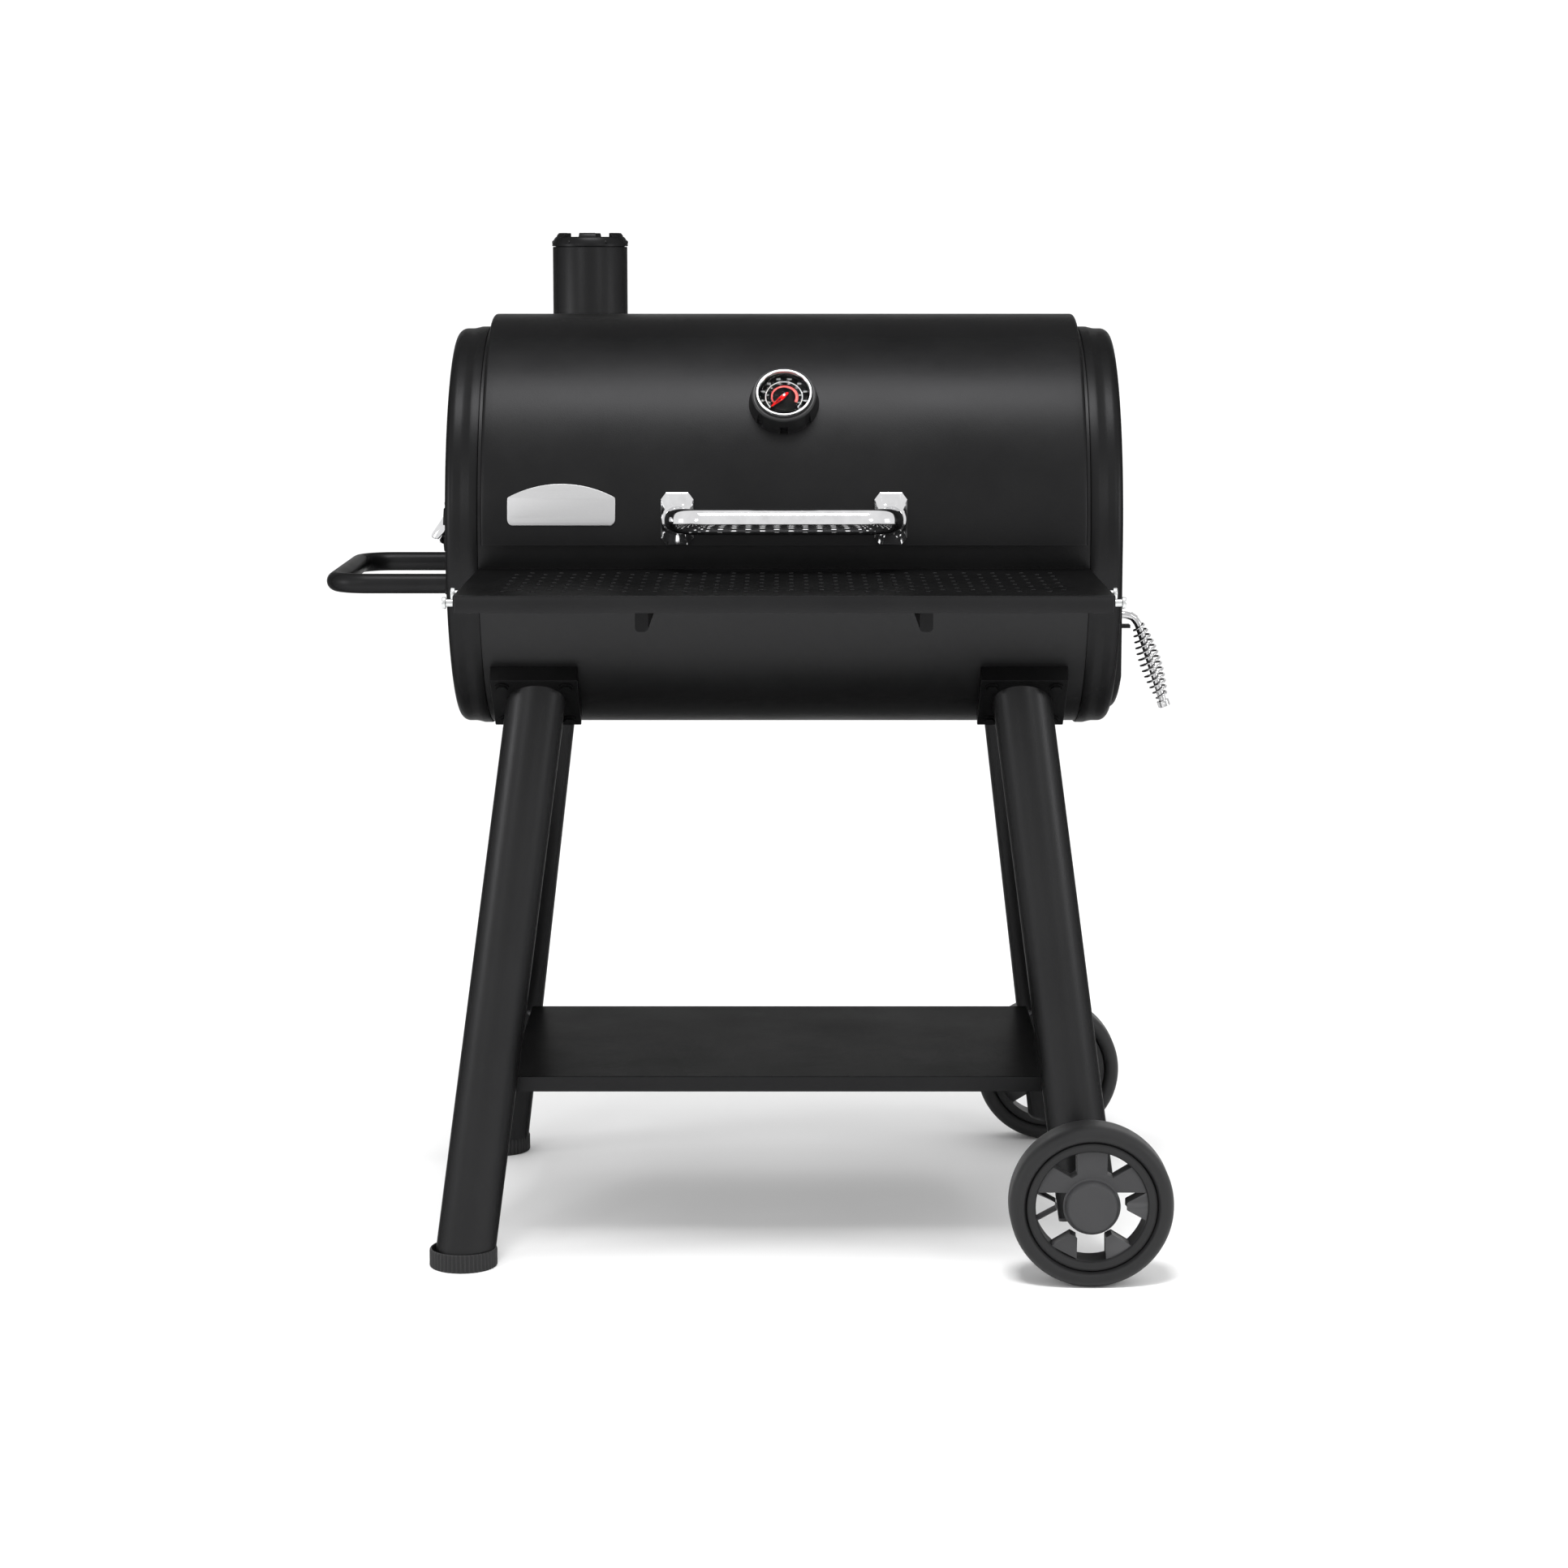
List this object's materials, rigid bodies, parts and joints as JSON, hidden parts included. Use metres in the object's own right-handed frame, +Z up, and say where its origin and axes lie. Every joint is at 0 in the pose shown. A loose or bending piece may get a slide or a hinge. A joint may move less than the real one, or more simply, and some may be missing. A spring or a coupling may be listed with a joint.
{
  "type": "barrel charcoal smoker",
  "caption": "Barrel charcoal smoker on splayed tube legs with two wheels: hinged lid, side access door, rear chimney, dampers, shelves and lift-out grates.",
  "frame": {"origin": "centre of the footprint box, on the floor under the feet and tyres", "axes": "+X towards the access door end, +Y from the front shelf towards the chimney side, +Z up"},
  "size_m": [1.0982, 1.031, 1.31],
  "materials": {
    "black_powder_coat": "satin",
    "chrome": "polished",
    "steel": "satin",
    "grate_steel": "matt enamel",
    "thermometer_black": "satin",
    "dial": "matt, with white scale",
    "glass": "clear",
    "needle_red": "satin",
    "badge": "brushed, blank",
    "tyre": "matt",
    "wheel_grey": "fine grained",
    "foot_rubber": "matt"
  },
  "bodies": {
    "stand": {"barrel_shell": "black_powder_coat", "left_end_cap": "black_powder_coat", "right_end_cap": "black_powder_coat", "grate_rails": "grate_steel", "charcoal_rails": "grate_steel", "ash_pan_runners": "grate_steel", "lid_hinge_bases": "black_powder_coat", "lid_hinge_pins": "steel", "chimney_elbow": "black_powder_coat", "chimney_pipe": "black_powder_coat", "chimney_valve_plate": "black_powder_coat", "chimney_pivot": "steel", "front_shelf": "black_powder_coat", "shelf_brackets": "black_powder_coat", "tool_hooks": "chrome", "side_handle": "black_powder_coat", "side_handle_flanges": "black_powder_coat", "damper_pivot": "steel", "door_hinge_bases": "black_powder_coat", "door_hinge_pins": "steel", "door_catch": "black_powder_coat", "leg_brackets": "black_powder_coat", "leg_bracket_bolts": "black_powder_coat", "leg_front_left": "black_powder_coat", "leg_front_right": "black_powder_coat", "leg_rear_left": "black_powder_coat", "leg_rear_right": "black_powder_coat", "leg_feet": "foot_rubber", "leg_end_caps": "foot_rubber", "bottom_shelf": "black_powder_coat", "bottom_shelf_bolts": "steel", "axle": "steel", "axle_spacers": "steel", "axle_nuts": "steel"},
    "lid": {"lid": "black_powder_coat", "lid_hinge_leaves": "black_powder_coat", "lid_handle": "chrome", "lid_handle_posts": "chrome", "thermometer_housing": "thermometer_black", "thermometer_bezel": "chrome", "thermometer_dial": "dial", "thermometer_glass": "glass", "thermometer_probe": "steel", "badge_plate": "badge"},
    "needle": {"thermometer_needle": "needle_red"},
    "chimney_cap": {"chimney_cap": "black_powder_coat"},
    "damper": {"damper_cap": "black_powder_coat", "damper_knob": "chrome"},
    "door": {"access_door": "black_powder_coat", "door_hinge_leaves": "black_powder_coat"},
    "door_handle": {"door_latch_handle": "chrome", "door_handle_grip": "chrome"},
    "front_wheel": {"front_tyre": "tyre", "front_wheel_rim": "wheel_grey"},
    "rear_wheel": {"rear_tyre": "tyre", "rear_wheel_rim": "wheel_grey"},
    "grate_left": {"cooking_grate_left": "grate_steel"},
    "grate_right": {"cooking_grate_right": "grate_steel"},
    "charcoal_grate": {"charcoal_grate": "grate_steel"},
    "ash_pan": {"ash_pan": "grate_steel"}
  },
  "joints": [
    {"name": "lid_hinge", "type": "hinge", "parent": "stand", "child": "lid", "pos_m": [0.04256, 0.24785, 1.17065], "axis": [-1, 0, 0], "range_deg": [0, 100]},
    {"name": "needle_turn", "type": "hinge", "parent": "lid", "child": "needle", "pos_m": [0.04256, -0.13238, 1.10488], "axis": [0, 0.7923, -0.6101], "range_deg": [0, 270]},
    {"name": "chimney_cap_turn", "type": "hinge", "parent": "stand", "child": "chimney_cap", "pos_m": [-0.22744, 0.39555, 1.293], "axis": [0, 0, 1], "range_deg": [0, 45]},
    {"name": "damper_turn", "type": "hinge", "parent": "stand", "child": "damper", "pos_m": [-0.38744, 0.10055, 0.921], "axis": [-1, 0, 0], "range_deg": [0, 45]},
    {"name": "door_hinge", "type": "hinge", "parent": "stand", "child": "door", "pos_m": [0.48256, 0.30055, 0.8605], "axis": [0, 0, 1], "range_deg": [0, 110]},
    {"name": "door_latch", "type": "hinge", "parent": "door", "child": "door_handle", "pos_m": [0.47956, 0.01055, 0.815], "axis": [-1, 0, 0], "range_deg": [0, 90]},
    {"name": "front_wheel_spin", "type": "hinge", "parent": "stand", "child": "front_wheel", "pos_m": [0.42756, -0.28345, 0.103], "axis": [0, 1, 0], "continuous": true},
    {"name": "rear_wheel_spin", "type": "hinge", "parent": "stand", "child": "rear_wheel", "pos_m": [0.42756, 0.48455, 0.103], "axis": [0, 1, 0], "continuous": true},
    {"name": "left_grate_lift", "type": "slide", "parent": "stand", "child": "grate_left", "axis": [0, 0, 1], "range_m": [0, 0.1]},
    {"name": "right_grate_lift", "type": "slide", "parent": "stand", "child": "grate_right", "axis": [0, 0, 1], "range_m": [0, 0.1]},
    {"name": "charcoal_grate_lift", "type": "slide", "parent": "stand", "child": "charcoal_grate", "axis": [0, 0, 1], "range_m": [0, 0.1]},
    {"name": "ash_pan_slide", "type": "slide", "parent": "stand", "child": "ash_pan", "axis": [1, 0, 0], "range_m": [0, 0.1]}
  ]
}
